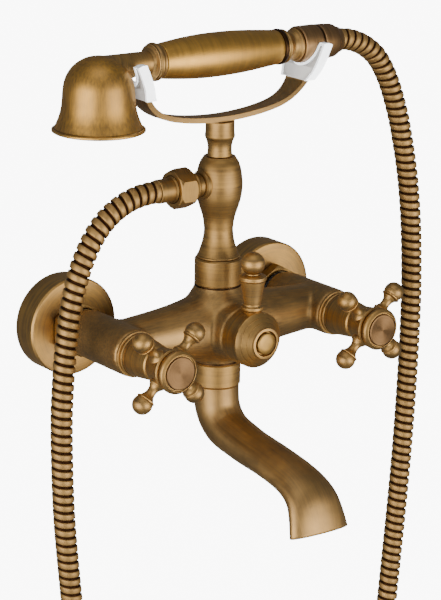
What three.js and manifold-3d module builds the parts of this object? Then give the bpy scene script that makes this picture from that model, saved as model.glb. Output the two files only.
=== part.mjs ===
// Wall mounted bath and shower mixer in the old telephone style, in millimetres.
//
// The wall is the plane Y = 0 and the mixer stands off it towards -Y. X runs along the two
// inlets (hot at -X, cold at +X), Z is up, and the origin is midway between the inlets.
import * as THREE from 'three';
import { mergeVertices } from 'three/addons/utils/BufferGeometryUtils.js';
import Module from 'manifold-3d';

const wasm = await Module();
wasm.setup();

// ---- driving dimensions ----------------------------------------------------------------
const inletSpacing = 150;      // standard centres of the two wall inlets
const axisY = -61.5;           // the body's cross tube, column and spout stand this far out
const gap = 0.3;               // clearance between pieces that touch on the real mixer
const wall = 2;                // thickness of the turned brass shells

const escutcheonRadius = 30.2;
const escutcheonDepth = 18.7;
const inletBore = 9;
const pipeThreadRadius = 10.4; // G1/2
const unionThreadRadius = 13.2; // G3/4
const unionNutFlats = 30;

const tailRadius = 14.2;       // body limbs that run from the wall to the valve bonnets
const tailBack = -28.2;
const tailFront = -83;
const crossRadius = 15.6;
const neckRadius = 13.9;       // body necks under the column and above the spout
const neckTop = 25.8;
const neckBottom = -21.7;
const bossRadius = 16.9;       // front boss that holds the diverter
const bossFront = -88.6;
const waterway = 8.5;

const bonnetFront = -106.6;
const hubBack = -107;
const hubFront = -121.4;
const capFront = -128.4;
const capRadius = 13;
const handleReach = 25.9;      // handle axis to ball centre
const armY = -116;
const ballRadius = 6;

const knobRadius = 16.7;
const knobEdgeY = -102.6;
const knobLipY = -110.4;
const leverY = -96;
const leverBall = 45.9;        // height of the lever's ball centre above the diverter axis

const columnCollarRadius = 14.2;
const columnFoot = 42.8;
const columnTop = 104.6;
const outletZ = 88.5;
const hoseRadius = 6.75;

const cradleZ = 126.2;         // underside of the cradle band over the column
const bandThickness = 3.2;
const sleeveFoot = 145.8;
const hornTop = 168.2;

const handsetZ = 166;          // axis of the handset's handle
const bellX = -86.6;
const bellRadius = 20.8;
const bellRim = 26.6;
const bellBottom = 129.8;
const tailEndX = 56;           // where the hose swivel collar starts
const hoseEndX = 88.4;

const spoutCollarRadius = 14.7;
const spoutCollarBottom = -37.2;
const spoutWall = 2.2;

// How many flats a turned surface is made of: wide plates, most pieces, bores and slim pins.
const facets = { wide: 22, plain: 16, bore: 12, slim: 8 };

// ---- materials -------------------------------------------------------------------------
const material = (color, roughness, metalness) =>
  () => new THREE.MeshStandardMaterial({ color, roughness, metalness });
const antiqueBrass = material(0xa37a41, 0.38, 0.9);
const darkBrass = material(0x6b4c2a, 0.45, 0.9);
const hoseBrass = material(0xb08a55, 0.4, 0.9);
const plainBrass = material(0xc2a15a, 0.35, 0.95);
const steel = material(0xb8b8b4, 0.3, 1);
const rubber = material(0x1d1b19, 0.85, 0);
const ceramic = material(0xe9e4d8, 0.3, 0);
const nylon = material(0xe8e8e6, 0.5, 0);
const greyPlastic = material(0x6f6a62, 0.6, 0);

// ---- building helpers ------------------------------------------------------------------
const group = new THREE.Group();

/** Keeps only position, joins shared corners and turns every face outwards. */
function closed(geometry) {
  const plain = geometry.clone();
  plain.deleteAttribute('normal');
  plain.deleteAttribute('uv');
  const merged = mergeVertices(plain, 1e-4);
  const index = Array.from(merged.index.array);
  const corner = (i) => new THREE.Vector3().fromBufferAttribute(merged.attributes.position, i);
  let volume = 0;
  const kept = [];
  for (let i = 0; i < index.length; i += 3) {
    const [a, b, c] = index.slice(i, i + 3);
    if (a === b || b === c || c === a) continue;
    volume += corner(a).dot(corner(b).cross(corner(c)));
    kept.push([a, b, c]);
  }
  const ordered = volume < 0 ? kept.map(([a, b, c]) => [a, c, b]) : kept;
  merged.setIndex(ordered.flat());
  return merged;
}

function toSolid(geometry) {
  const merged = closed(geometry);
  const vertProperties = new Float32Array(merged.attributes.position.array);
  const triVerts = new Uint32Array(merged.index.array);
  return new wasm.Manifold(new wasm.Mesh({ numProp: 3, vertProperties, triVerts }));
}

function toGeometry(solid) {
  const mesh = solid.getMesh();
  const geometry = new THREE.BufferGeometry();
  const position = new Float32Array(mesh.vertProperties);
  geometry.setAttribute('position', new THREE.BufferAttribute(position, 3));
  geometry.setIndex(Array.from(mesh.triVerts));
  return geometry;
}

/** The union of one or more geometries, as a solid. */
const joined = (...pieces) => pieces.map(toSolid).reduce((sum, solid) => sum.add(solid));

/** A solid less each of the tool geometries. */
const cut = (solid, ...tools) => tools.map(toSolid).reduce((rest, tool) => rest.subtract(tool), solid);

/** Adds one piece to the assembly under its own name. */
function place(name, geometry, finish, at = [0, 0, 0]) {
  const mesh = new THREE.Mesh(closed(geometry), finish());
  mesh.name = name;
  mesh.position.set(...at);
  group.add(mesh);
}

/** Turns a profile of [radius, station] points about X, Y or Z; stations run along +axis. */
function turned(profile, axis, segments = facets.plain) {
  const geometry = new THREE.LatheGeometry(profile.map(([r, s]) => new THREE.Vector2(r, s)), segments);
  if (axis === 'z') geometry.rotateX(Math.PI / 2);
  if (axis === 'x') geometry.rotateZ(-Math.PI / 2);
  return geometry;
}

const rod = (radius, from, to, axis, segments = facets.plain) =>
  turned([[0, from], [radius, from], [radius, to], [0, to]], axis, segments);

const ring = (inner, outer, from, to, axis, segments = facets.plain) =>
  turned([[inner, from], [outer, from], [outer, to], [inner, to], [inner, from]], axis, segments);

/** Stations of an arc in a turned profile: centre, radius and two angles in degrees. */
function arc(centreR, centreS, radius, fromDeg, toDeg, steps) {
  return Array.from({ length: steps + 1 }, (_, i) => {
    const angle = THREE.MathUtils.degToRad(fromDeg + (toDeg - fromDeg) * i / steps);
    return [centreR + radius * Math.cos(angle), centreS + radius * Math.sin(angle)];
  });
}

/** A hexagon with a round hole, `length` long and centred on the origin along the axis. */
function hexRing(acrossFlats, hole, length, axis, turn = 0) {
  const corner = acrossFlats / Math.sqrt(3);
  const outline = Array.from({ length: 6 }, (_, i) => {
    const angle = turn + i * Math.PI / 3;
    return new THREE.Vector2(corner * Math.cos(angle), corner * Math.sin(angle));
  });
  const shape = new THREE.Shape(outline);
  shape.holes.push(new THREE.Path().absarc(0, 0, hole, 0, 2 * Math.PI, true));
  const options = { depth: length, bevelEnabled: false, curveSegments: 8 };
  const geometry = new THREE.ExtrudeGeometry(shape, options);
  geometry.translate(0, 0, -length / 2);
  if (axis === 'x') geometry.rotateY(Math.PI / 2);
  if (axis === 'y') geometry.rotateX(Math.PI / 2);
  return geometry;
}

// ---- wall connections ------------------------------------------------------------------
function escutcheon(name, x) {
  const front = -escutcheonDepth;
  const edge = 1.4;
  const rim = arc(escutcheonRadius - edge, front + edge, edge, -90, 0, 3);
  const hole = unionThreadRadius + 0.6;
  const profile = [
    [hole, front], ...rim, [escutcheonRadius, 0], [escutcheonRadius - wall, 0],
    [escutcheonRadius - wall, front + wall], [hole, front + wall], [hole, front],
  ];
  place(name, turned(profile, 'y', facets.wide), antiqueBrass, [x, 0, 0]);
}

function eccentricUnion(name, x) {
  const offset = -5;           // the wall thread sits below the inlet axis
  const bodyThread = rod(unionThreadRadius, -26, -9, 'y');
  const web = rod(16, -14, -3, 'y');
  const pipeThread = rod(pipeThreadRadius, -5, 17, 'y').translate(0, 0, offset);
  const frontBore = rod(inletBore, -27, -8, 'y', facets.bore);
  const backBore = rod(7.5, -10, 18, 'y', facets.bore).translate(0, 0, offset);
  const union = cut(joined(bodyThread, web, pipeThread), frontBore, backBore);
  place(name, toGeometry(union), plainBrass, [x, 0, 0]);
}

function wallConnection(side, x) {
  const nutLength = 7.4;
  escutcheon(`escutcheon_${side}`, x);
  eccentricUnion(`eccentric_union_${side}`, x);
  const nut = hexRing(unionNutFlats, unionThreadRadius + gap, nutLength, 'y', Math.PI / 6);
  place(`union_nut_${side}`, nut, darkBrass, [x, -23.1, 0]);
  const washer = ring(inletBore, unionThreadRadius - 0.4, -27.9, -26.3, 'y', facets.bore);
  place(`inlet_washer_${side}`, washer, rubber, [x, 0, 0]);
}

// ---- mixer body ------------------------------------------------------------------------
const valveBore = 9.4;
const valveSeatY = -50;
const diverterSeatY = -48;
const diverterBore = 10.6;
const riserBore = 10.25;

function bodyLimb(x) {
  const profile = [
    [0, tailBack], [10.8, tailBack], [13.2, tailBack - 3], [tailRadius, tailBack - 8],
    [tailRadius, tailFront], [0, tailFront],
  ];
  return turned(profile, 'y').translate(x, 0, 0);
}

function crossTube() {
  const end = inletSpacing / 2;
  const half = [
    [crossRadius + 1, 24], [crossRadius, 38], [14.2, end - 14], [12.8, end - 4], [9, end + 2], [0, end + 4],
  ];
  const mirrored = half.map(([r, x]) => [r, -x]).reverse();
  return turned([...mirrored, ...half], 'x').translate(0, axisY, 0);
}

function centreNeck() {
  const profile = [
    [0, neckBottom], [neckRadius, neckBottom], [14.6, neckBottom + 3], [19.5, -13], [20.5, -6],
    [21, 4], [20.6, 12], [18.4, 17.4], [15.4, 21.8], [neckRadius, neckTop], [0, neckTop],
  ];
  return turned(profile, 'z').translate(0, axisY, 0);
}

/** One cast brass shell with the bores for the inlets, both valves, the diverter and the risers. */
function mixerBody() {
  const ends = [-inletSpacing / 2, inletSpacing / 2];
  const bore = (radius, from, to, axis) => rod(radius, from, to, axis, facets.bore);
  const boss = rod(bossRadius, bossFront, axisY, 'y');
  const shell = joined(crossTube(), centreNeck(), boss, ...ends.map(bodyLimb));
  const valveBores = ends.map((x) => bore(valveBore, tailFront - 1, valveSeatY, 'y').translate(x, 0, 0));
  const inletBores = ends.map((x) => bore(waterway, valveSeatY - 2, tailBack + 1, 'y').translate(x, 0, 0));
  const cross = bore(waterway, ...ends, 'x').translate(0, axisY, 0);
  const riser = bore(riserBore, neckBottom - 1, neckTop + 1, 'z').translate(0, axisY, 0);
  const diverterRoom = bore(diverterBore, bossFront - 1, diverterSeatY, 'y');
  const hollow = cut(shell, ...valveBores, ...inletBores, cross, riser, diverterRoom);
  place('mixer_body', toGeometry(hollow), antiqueBrass);
}

// ---- valves and cross handles ----------------------------------------------------------
const spindleRadius = 4;
const armRoot = 2.6;           // the threaded root of a handle arm
const armAngles = [1, 3, 5, 7].map((eighth) => eighth * Math.PI / 4);

function valve(side, x) {
  const discRoomFront = valveSeatY - 6.6;
  const cartridge = [
    [8.4, valveSeatY - gap], [9.1, valveSeatY - gap], [9.1, -82.6], [8.2, -82.6], [8.2, -100],
    [spindleRadius + gap, -100], [spindleRadius + gap, discRoomFront], [8.4, discRoomFront],
    [8.4, valveSeatY - gap],
  ];
  place(`valve_cartridge_${side}`, turned(cartridge.reverse(), 'y', facets.bore), plainBrass, [x, 0, 0]);
  const disc = rod(8.1, valveSeatY - 3.2, valveSeatY - gap, 'y', facets.bore);
  const port = rod(2.8, valveSeatY - 4, valveSeatY + 1, 'y', facets.slim).translate(4.4, 0, 0);
  place(`ceramic_disc_${side}`, toGeometry(cut(toSolid(disc), port)), ceramic, [x, 0, 0]);
}

function bonnet(side, x) {
  const inner = 8.6;
  const profile = [
    [inner, bonnetFront], [9.6, bonnetFront], [10.7, bonnetFront + 1.2], [12.2, -90], [12.2, -87.4],
    [13, -86.8], [13, -85], [13.9, -84.6], [13.9, -83.3], [inner, -83.3], [inner, bonnetFront],
  ];
  place(`valve_bonnet_${side}`, turned(profile, 'y'), antiqueBrass, [x, 0, 0]);
}

/** A turned arm standing on the hub, ending in a ball with a thin lip behind it. */
function handleArm() {
  const cutBack = 3.1;         // the ball is cut flat this far behind its centre
  const lip = handleReach - cutBack;
  const cutAngle = THREE.MathUtils.radToDeg(Math.asin(cutBack / ballRadius));
  const ball = arc(0, handleReach, ballRadius, -cutAngle, 75, 4);
  const profile = [
    [0, 9.8], [armRoot, 9.8], [armRoot, 12.4], [4.6, 12.8], [2.9, 17.2], [4.5, lip - 1],
    [5.5, lip - 0.8], [5.5, lip], ...ball, [0, handleReach + ballRadius],
  ];
  return turned(profile, 'z', facets.slim);
}

function handleHub(side, x) {
  const profile = [
    [3, hubBack], [9.4, hubBack], [10.4, hubBack - 2], [11.2, -112], [11.6, -118], [12.5, -119.4],
    [12.5, -120.6], [11.6, hubFront], [3, hubFront], [3, hubBack],
  ];
  const armBores = armAngles.map((angle) =>
    rod(armRoot + gap, 9.4, 14, 'z', facets.slim).rotateY(angle).translate(0, armY, 0));
  const spindleSocket = rod(spindleRadius + gap, armY, hubBack + 1, 'y', facets.slim);
  const hub = cut(toSolid(turned(profile, 'y')), ...armBores, spindleSocket);
  place(`handle_hub_${side}`, toGeometry(hub), antiqueBrass, [x, 0, 0]);
}

function crossHandle(side, x) {
  handleHub(side, x);
  ['upper_right', 'lower_right', 'lower_left', 'upper_left'].forEach((corner, i) => {
    const arm = handleArm().rotateY(armAngles[i]);
    place(`handle_arm_${corner}_${side}`, arm, antiqueBrass, [x, armY, 0]);
  });
  const discBack = valveSeatY - 3.5;
  const spindle = [
    [0, -115.4], [spindleRadius, -115.4], [spindleRadius, discBack - 2.6], [8.1, discBack - 2.6],
    [8.1, discBack], [0, discBack],
  ];
  place(`valve_spindle_${side}`, turned(spindle, 'y', facets.slim), steel, [x, 0, 0]);
  const cap = [
    [0, capFront], [10.2, capFront], [11.2, capFront + 0.3], [12.4, -126.8], [capRadius, -125.2],
    [12.6, -122.9], [11.4, hubFront - gap], [0, hubFront - gap],
  ];
  const screwRoom = rod(4.8, -125, -121, 'y', facets.slim);
  const hollowCap = cut(toSolid(turned(cap, 'y')), screwRoom);
  place(`handle_cap_${side}`, toGeometry(hollowCap), antiqueBrass, [x, 0, 0]);
  const screw = [
    [0, -124.6], [4.2, -124.6], [4.2, hubFront - gap], [2.6, hubFront - gap], [2.6, -115.8], [0, -115.8],
  ];
  place(`handle_screw_${side}`, turned(screw, 'y', facets.slim), steel, [x, 0, 0]);
}

// ---- diverter --------------------------------------------------------------------------
function diverter() {
  const cartridge = [
    [3.8, -87.6], [10.3, -87.6], [10.3, -77], [9.4, -76], [9.4, diverterSeatY - gap],
    [5, diverterSeatY - gap], [5, -62], [3.8, -64], [3.8, -87.6],
  ];
  const port = rod(3.2, -12, 12, 'z', facets.slim).translate(0, -58, 0);
  const ported = cut(toSolid(turned(cartridge, 'y', facets.bore)), port);
  place('diverter_cartridge', toGeometry(ported), plainBrass);
  place('diverter_spindle', rod(3.5, -106, -64.4, 'y', facets.slim), steel);

  const knob = [
    [9.8, bossFront - gap], [knobRadius, bossFront - gap], [knobRadius, knobEdgeY], [9.1, knobLipY],
    [7.6, knobLipY], [7.6, -107], [3.8, -107], [3.8, -91], [9.8, -90], [9.8, bossFront - gap],
  ];
  const leverSocket = rod(3.3, 11, knobRadius + 2, 'z', facets.slim).translate(0, leverY, 0);
  place('diverter_knob', toGeometry(cut(toSolid(turned(knob, 'y')), leverSocket)), antiqueBrass);
  const button = [[0, -111.9], [5.4, -111.7], [6.6, -111], [6.6, -107.3], [0, -107.3]];
  place('diverter_cap', turned(button, 'y', facets.bore), plainBrass);
}

function diverterLever() {
  const leverBallRadius = 7.1;
  const foot = knobRadius + gap;
  const ball = arc(0, leverBall, leverBallRadius, -52, 70, 4);
  const profile = [
    [0, 12], [3, 12], [3, foot], [5.6, foot + 0.2], [6.3, foot + 1.4], [6.3, foot + 2.6],
    [5.1, foot + 3.6], [5.3, foot + 5], [7.7, 36], [8.1, 37], [8.1, 38.2], [6.6, 39.2], [4.2, 39.8],
    ...ball, [0, leverBall + leverBallRadius],
  ];
  place('diverter_lever', turned(profile, 'z', facets.bore), antiqueBrass, [0, leverY, 0]);
}

/** A round seal between the body's riser bore and the spigot that turns in it. */
function oRing(name, z) {
  const section = arc(9.3, z, 0.5, 0, 360, 5);
  place(name, turned(section, 'z', facets.bore), rubber, [0, axisY, 0]);
}

// ---- column and cradle -----------------------------------------------------------------
function column() {
  const collar = [
    [10.4, neckTop + gap], [13.6, neckTop + gap], [columnCollarRadius, neckTop + 0.9],
    [columnCollarRadius, columnFoot - 1], [13.3, columnFoot - gap], [10.4, columnFoot - gap],
    [10.4, neckTop + gap],
  ];
  place('column_collar', turned(collar, 'z'), antiqueBrass, [0, axisY, 0]);
  oRing('column_o_ring', neckTop - 3);

  const outside = [
    [8.6, neckTop - 6], [8.6, columnFoot], [12.9, columnFoot], [11.4, 47.5], [9.6, 52.6], [8.85, 60],
    [10, 68.5], [13.1, 77.8], [14.1, 87], [13.3, 96], [11.1, 102], [9.4, columnTop],
  ];
  const inside = [[7, columnTop], [7, 96], [4.5, 94], [4.5, neckTop - 6], [8.6, neckTop - 6]];
  const vase = toSolid(turned([...outside, ...inside], 'z'));
  const outletHole = rod(5.2, -20, 0, 'x', facets.bore).translate(0, 0, outletZ);
  const outletFlat = rod(8.9, -20, -10.8, 'x', facets.bore).translate(0, 0, outletZ);
  place('column_body', toGeometry(cut(vase, outletHole, outletFlat)), antiqueBrass, [0, axisY, 0]);
}

function hoseOutlet() {
  const at = [0, axisY, outletZ];
  const nipple = [
    [3.6, -9], [4.9, -9], [4.9, -11.1], [8.5, -11.1], [8.5, -14], [7, -14.6], [7, -18], [8.1, -19],
    [8.1, -31], [3.6, -31], [3.6, -9],
  ];
  place('hose_outlet_nipple', turned(nipple, 'x', facets.bore), antiqueBrass, at);
  const nut = toSolid(hexRing(21.6, 8.4, 12.6, 'x').translate(-28.9, 0, 0));
  const chamfer = turned([
    [8.4, -36], [10.2, -36], [12.8, -33], [12.8, -24.6], [11.4, -22], [8.4, -22], [8.4, -36],
  ], 'x');
  place('hose_nut', toGeometry(nut.intersect(toSolid(chamfer))), antiqueBrass, at);
  place('hose_washer_outlet', ring(3.6, 8, -33, -31.3, 'x', facets.slim), rubber, at);
  const ferrule = [
    [4.4, -46], [6.9, -46], [7.2, -45], [7.2, -36.2], [8, -35.2], [8, -33.3], [4.4, -33.3], [4.4, -46],
  ];
  place('hose_ferrule_outlet', turned(ferrule, 'x', facets.bore), antiqueBrass, at);
}

/** The outline of a flat strip, `thickness` wide, along a curve in the X-Z plane. */
function stripOutline(curve, thickness) {
  const steps = 26;
  const sides = [[], []];
  for (let i = 0; i <= steps; i += 1) {
    const point = curve.getPointAt(i / steps);
    const along = curve.getTangentAt(i / steps);
    const across = new THREE.Vector2(-along.y, along.x).multiplyScalar(thickness / 2);
    sides[0].push(point.clone().add(across));
    sides[1].unshift(point.clone().sub(across));
  }
  return [...sides[0], ...sides[1]];
}

/** Extrudes an outline drawn in X-Z by `width`, centred on Y = 0. */
function slabAlongY(outline, width) {
  const options = { depth: width, bevelEnabled: false };
  const geometry = new THREE.ExtrudeGeometry(new THREE.Shape(outline), options);
  return geometry.translate(0, 0, -width / 2).rotateX(Math.PI / 2);
}

/** Extrudes an outline drawn in Y-Z between two stations along X. */
function slabAlongX(outline, from, to) {
  const options = { depth: to - from, bevelEnabled: false };
  const geometry = new THREE.ExtrudeGeometry(new THREE.Shape(outline), options);
  return geometry.translate(0, 0, from).rotateZ(Math.PI / 2).rotateY(Math.PI / 2);
}

/** The cradle seen along X: a band that widens upwards into a fork round the handset. */
function forkOutline(sides, notch, top) {
  const half = [...sides, [notch + 0.9, top]];
  const mirrored = half.map(([y, z]) => [-y, z]).reverse();
  const notchArc = arc(0, handsetZ, notch, 0, -180, 10);
  return [...half, ...notchArc, ...mirrored].map(([y, z]) => new THREE.Vector2(y, z));
}

const bandHalf = [
  [15, 128.4], [30, 130.2], [43, 133.4], [52.2, 138.8], [58.8, 147], [63.3, 157.4], [68, hornTop],
];
const bandCurve = new THREE.SplineCurve([
  ...bandHalf.map(([x, z]) => [-x, z]).reverse(), [0, cradleZ + bandThickness / 2], ...bandHalf,
].map(([x, z]) => new THREE.Vector2(x, z)));

const bandReach = 90;          // slabs this far out each way pass the ends of the band
const prongTop = hornTop - 1.6;
const prongNotch = 13;
const prongSides = [
  [5.5, 120], [5.6, 129], [6.6, 136], [8.8, 145], [10.4, 149], [13.6, 155], [14.9, 161], [15.2, prongTop],
];
const sleeveThickness = 6;
const sleeveNotch = 11.3;
const sleeveSides = [[12.2, sleeveFoot], [15.4, 154], [16.7, 160], [17, hornTop]];

/** A strip along the band's curve, kept only where the fork outline seen along X covers it. */
function forkedStrip(thickness, outline, from, to) {
  const strip = toSolid(slabAlongY(stripOutline(bandCurve, thickness), 60));
  return strip.intersect(toSolid(slabAlongX(outline, from, to)));
}

function cradle() {
  const outline = forkOutline(prongSides, prongNotch, prongTop);
  const band = forkedStrip(bandThickness, outline, -bandReach, bandReach);
  place('cradle_band', toGeometry(band), antiqueBrass, [0, axisY, 0]);

  const stem = [
    [0, 97], [6.6, 97], [6.6, columnTop], [7.6, columnTop + gap], [7.3, 109], [7.6, 113], [9, 116.4],
    [9, 118], [8.7, 119.4], [8.7, cradleZ - gap], [0, cradleZ - gap],
  ];
  place('cradle_stem', turned(stem, 'z'), antiqueBrass, [0, axisY, 0]);
}

/** The nylon cover over one pair of prongs, with a pocket that clears the metal all round. */
function forkSleeve(name, side) {
  const [from, to] = side < 0 ? [-bandReach, 0] : [0, bandReach];
  const outside = forkedStrip(sleeveThickness, forkOutline(sleeveSides, sleeveNotch, hornTop), from, to);
  const roomySides = prongSides.map(([y, z]) => [y + gap, z]);
  const roomy = forkOutline(roomySides, prongNotch - gap, prongTop + gap);
  const pocket = forkedStrip(bandThickness + 2 * gap, roomy, -bandReach, bandReach);
  place(name, toGeometry(outside.subtract(pocket)), nylon, [0, axisY, 0]);
}

// ---- handset ---------------------------------------------------------------------------
function handsetHead() {
  const domeZ = 152.5;
  const bell = turned([
    [0, bellBottom], [bellRim, bellBottom], [bellRim, bellBottom + 1.4], [24.2, 136.4], [22, 141],
    [21, 146], ...arc(0, domeZ, bellRadius, 0, 75, 5), [0, domeZ + bellRadius],
  ], 'z', facets.wide).translate(bellX, 0, 0);
  const neck = turned([
    [0, bellX], [6.8, bellX], [7.6, -70], [6.9, -62], [6.6, -53.4], [8, -51.6], [10.4, -50.6], [11, -49],
    [11, -47], [10.4, -45.4], [0, -45.4],
  ], 'x', facets.bore).translate(0, 0, handsetZ);
  const cavity = turned([
    [0, bellBottom - 1], [23.6, bellBottom - 1], [22.4, 136], [19.4, 141],
    ...arc(0, domeZ, bellRadius - wall, 0, 68, 3), [0, domeZ + bellRadius - wall],
  ], 'z').translate(bellX, 0, 0);
  const bore = rod(4.4, bellX, -44, 'x', facets.slim).translate(0, 0, handsetZ);
  place('handset_head', toGeometry(cut(joined(bell, neck), cavity, bore)), antiqueBrass, [0, axisY, 0]);

  const plate = [
    [0, bellBottom + 0.6], [20.4, bellBottom + 0.9], [22, bellBottom + 1.4], [22, bellBottom + 3.2],
    [0, bellBottom + 3.2],
  ];
  place('spray_plate', turned(plate, 'z'), greyPlastic, [bellX, axisY, 0]);
}

function handsetHandle() {
  const at = [0, axisY, handsetZ];
  const barrel = [
    [4.6, -45], [10.4, -45], [11, -37], [12.2, -26], [13, -14], [13.1, 0], [12.6, 14], [11.6, 27],
    [10.3, 40.4], [4.6, 40.4], [4.6, -45],
  ];
  place('handset_barrel', turned(barrel, 'x'), antiqueBrass, at);
  place('handset_end_ring', ring(4.6, 10.9, 40.7, 43.4, 'x', facets.bore), darkBrass, at);
  const tail = [
    [4.6, 43.7], [9.9, 43.7], [10.2, 45.4], [9.6, 47.2], [8.2, 48.6], [8, 50.6], [9, 53.4], [9.8, 54.6],
    [9.8, tailEndX - gap], [4.6, tailEndX - gap], [4.6, 43.7],
  ];
  place('handset_tail', turned(tail, 'x', facets.bore), antiqueBrass, at);
  const collar = [
    [8.2, tailEndX], [10.6, tailEndX], [11, tailEndX + 0.6], [11, 70.4], [10.6, 71], [8.2, 71],
    [8.2, tailEndX],
  ];
  place('handset_swivel_collar', turned(collar, 'x'), darkBrass, at);
  place('hose_washer_handset', ring(4.6, 7.8, 57, 58.8, 'x', facets.slim), rubber, at);
  const endNut = [
    [4.6, 71.3], [9.6, 71.3], [9.6, 72.2], [10.3, 72.6], [10.1, 82.4], [8.8, 84.6], [7.7, hoseEndX - gap],
    [4.6, hoseEndX - gap], [4.6, 71.3],
  ];
  place('hose_end_nut', turned(endNut, 'x'), darkBrass, at);
}

// ---- hose ------------------------------------------------------------------------------
// The hose's centreline in the plane Y = axisY, as [x, z]: out of the column towards -X, down
// in a long hanging loop and up to the handset's end.
const hoseRoute = [
  [-46.4, outletZ], [-48.4, outletZ], [-59.4, 87.3], [-70.4, 83.7], [-80.6, 77.4], [-89.2, 68.4],
  [-96, 57], [-101.4, 44], [-105.4, 29], [-108.6, 10], [-111.2, -14], [-112.6, -46], [-111.2, -98],
  [-106, -155], [-97, -244], [-85, -333], [-72, -407], [-59, -461], [-44, -497], [-21, -525], [9, -541],
  [43, -541], [73, -526], [96, -499], [113, -461], [126, -398], [137, -309], [145, -217],
  [153.2, -112], [156.2, -24], [154.4, 30], [149.6, 70], [142, 104], [135.4, 124.4], [128.4, 140],
  [119.8, 152.4], [109, 160.6], [98, 164.9], [90.4, handsetZ], [hoseEndX, handsetZ],
];

function hose() {
  const points = hoseRoute.map(([x, z]) => new THREE.Vector3(x, 0, z));
  const extrudePath = new THREE.CatmullRomCurve3(points, false, 'centripetal');
  const sides = 8;
  const section = new THREE.Shape(Array.from({ length: sides }, (_, i) => {
    const angle = 2 * Math.PI * i / sides;
    return new THREE.Vector2(hoseRadius * Math.cos(angle), hoseRadius * Math.sin(angle));
  }));
  const options = { steps: 48, bevelEnabled: false, extrudePath };
  const geometry = new THREE.ExtrudeGeometry(section, options);
  place('shower_hose', geometry, hoseBrass, [0, axisY, 0]);
}

// ---- spout -----------------------------------------------------------------------------
// Stations down the spout, in the plane X = 0: [y, z, half width, half height].
const spoutStations = [
  [axisY, spoutCollarBottom - gap, 13.8, 13.8], [axisY - 0.8, -46, 13.8, 13.8],
  [axisY - 4.5, -55, 13.8, 13.4], [axisY - 10.5, -61.6, 13.8, 12.6], [axisY - 18, -65.6, 13.8, 11.9],
  [axisY - 36, -68.6, 13.9, 11], [axisY - 56, -71, 14.3, 10.3], [axisY - 74, -74, 15.2, 9.6],
  [axisY - 86, -77.6, 16.3, 9], [axisY - 94.4, -83, 17.6, 8.6], [axisY - 99, -91, 19.2, 8.2],
  [axisY - 102.4, -101.6, 21, 8],
];

/** Lofts ellipses across the stations, shrunk by `inset`, and closes both ends. */
function spoutLoft(stations, inset, sides) {
  const centre = stations.map(([y, z]) => new THREE.Vector2(y, z));
  const last = centre.length - 1;
  const positions = [];
  const triangles = [];
  centre.forEach((point, i) => {
    const along = centre[Math.min(i + 1, last)].clone().sub(centre[Math.max(i - 1, 0)]).normalize();
    if (i === 0) along.set(0, -1);
    const [, , halfWidth, halfHeight] = stations[i];
    for (let k = 0; k < sides; k += 1) {
      const angle = 2 * Math.PI * k / sides;
      const across = (halfWidth - inset) * Math.cos(angle);
      const up = (halfHeight - inset) * Math.sin(angle);
      positions.push(across, point.x - along.y * up, point.y + along.x * up);
    }
  });
  positions.push(0, centre[0].x, centre[0].y, 0, centre[last].x, centre[last].y);
  const foot = centre.length * sides;
  for (let k = 0; k < sides; k += 1) {
    const next = (k + 1) % sides;
    for (let i = 0; i < last; i += 1) {
      const [a, b] = [i * sides + k, i * sides + next];
      triangles.push(a, a + sides, b, b, a + sides, b + sides);
    }
    triangles.push(foot, k, next, foot + 1, last * sides + next, last * sides + k);
  }
  const geometry = new THREE.BufferGeometry();
  geometry.setAttribute('position', new THREE.BufferAttribute(new Float32Array(positions), 3));
  geometry.setIndex(triangles);
  return geometry;
}

/** The same stations with the mouth carried on down, so that a passage cut along them is open. */
function passageStations() {
  const [y, z, halfWidth, halfHeight] = spoutStations[spoutStations.length - 1];
  const foot = spoutStations[0].with(1, spoutCollarBottom - 4);
  return [foot, ...spoutStations.slice(1), [y - 1.4, z - 5, halfWidth, halfHeight]];
}

function spout() {
  const collar = [
    [10.4, spoutCollarBottom], [13.9, spoutCollarBottom], [spoutCollarRadius, spoutCollarBottom + 0.8],
    [spoutCollarRadius, neckBottom - 1.1], [14.2, neckBottom - gap], [10.4, neckBottom - gap],
    [10.4, spoutCollarBottom],
  ];
  place('spout_collar', turned(collar, 'z'), antiqueBrass, [0, axisY, 0]);
  const spigot = rod(8.4, -42, neckBottom + 3, 'z').translate(0, axisY, 0);
  const spigotBore = rod(6.4, -46, neckBottom + 4, 'z', facets.bore).translate(0, axisY, 0);
  const passage = spoutLoft(passageStations(), spoutWall, 14);
  const tube = cut(joined(spoutLoft(spoutStations, 0, 18)), passage);
  const whole = cut(tube.add(toSolid(spigot)), spigotBore);
  place('spout', toGeometry(whole), antiqueBrass);
  oRing('spout_o_ring', neckBottom + 1.5);
}

// ---- assembly --------------------------------------------------------------------------
[['hot', -1], ['cold', 1]].forEach(([side, sign]) => {
  const x = sign * inletSpacing / 2;
  wallConnection(side, x);
  valve(side, x);
  bonnet(side, x);
  crossHandle(side, x);
});
mixerBody();
diverter();
diverterLever();
column();
hoseOutlet();
cradle();
forkSleeve('fork_sleeve_left', -1);
forkSleeve('fork_sleeve_right', 1);
handsetHead();
handsetHandle();
hose();
spout();

export default group;
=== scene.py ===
"""Wall mounted bath and shower mixer in antique brass: the finished surfaces over the CAD frame.

Every piece is drawn in millimetres in the frame of the CAD and scaled to metres as it is made.
X runs from the hot inlet to the cold one, the wall is the plane Y = 0 and Z is up.
"""
import math

import bmesh
import bpy
from mathutils import Matrix, Vector


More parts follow.
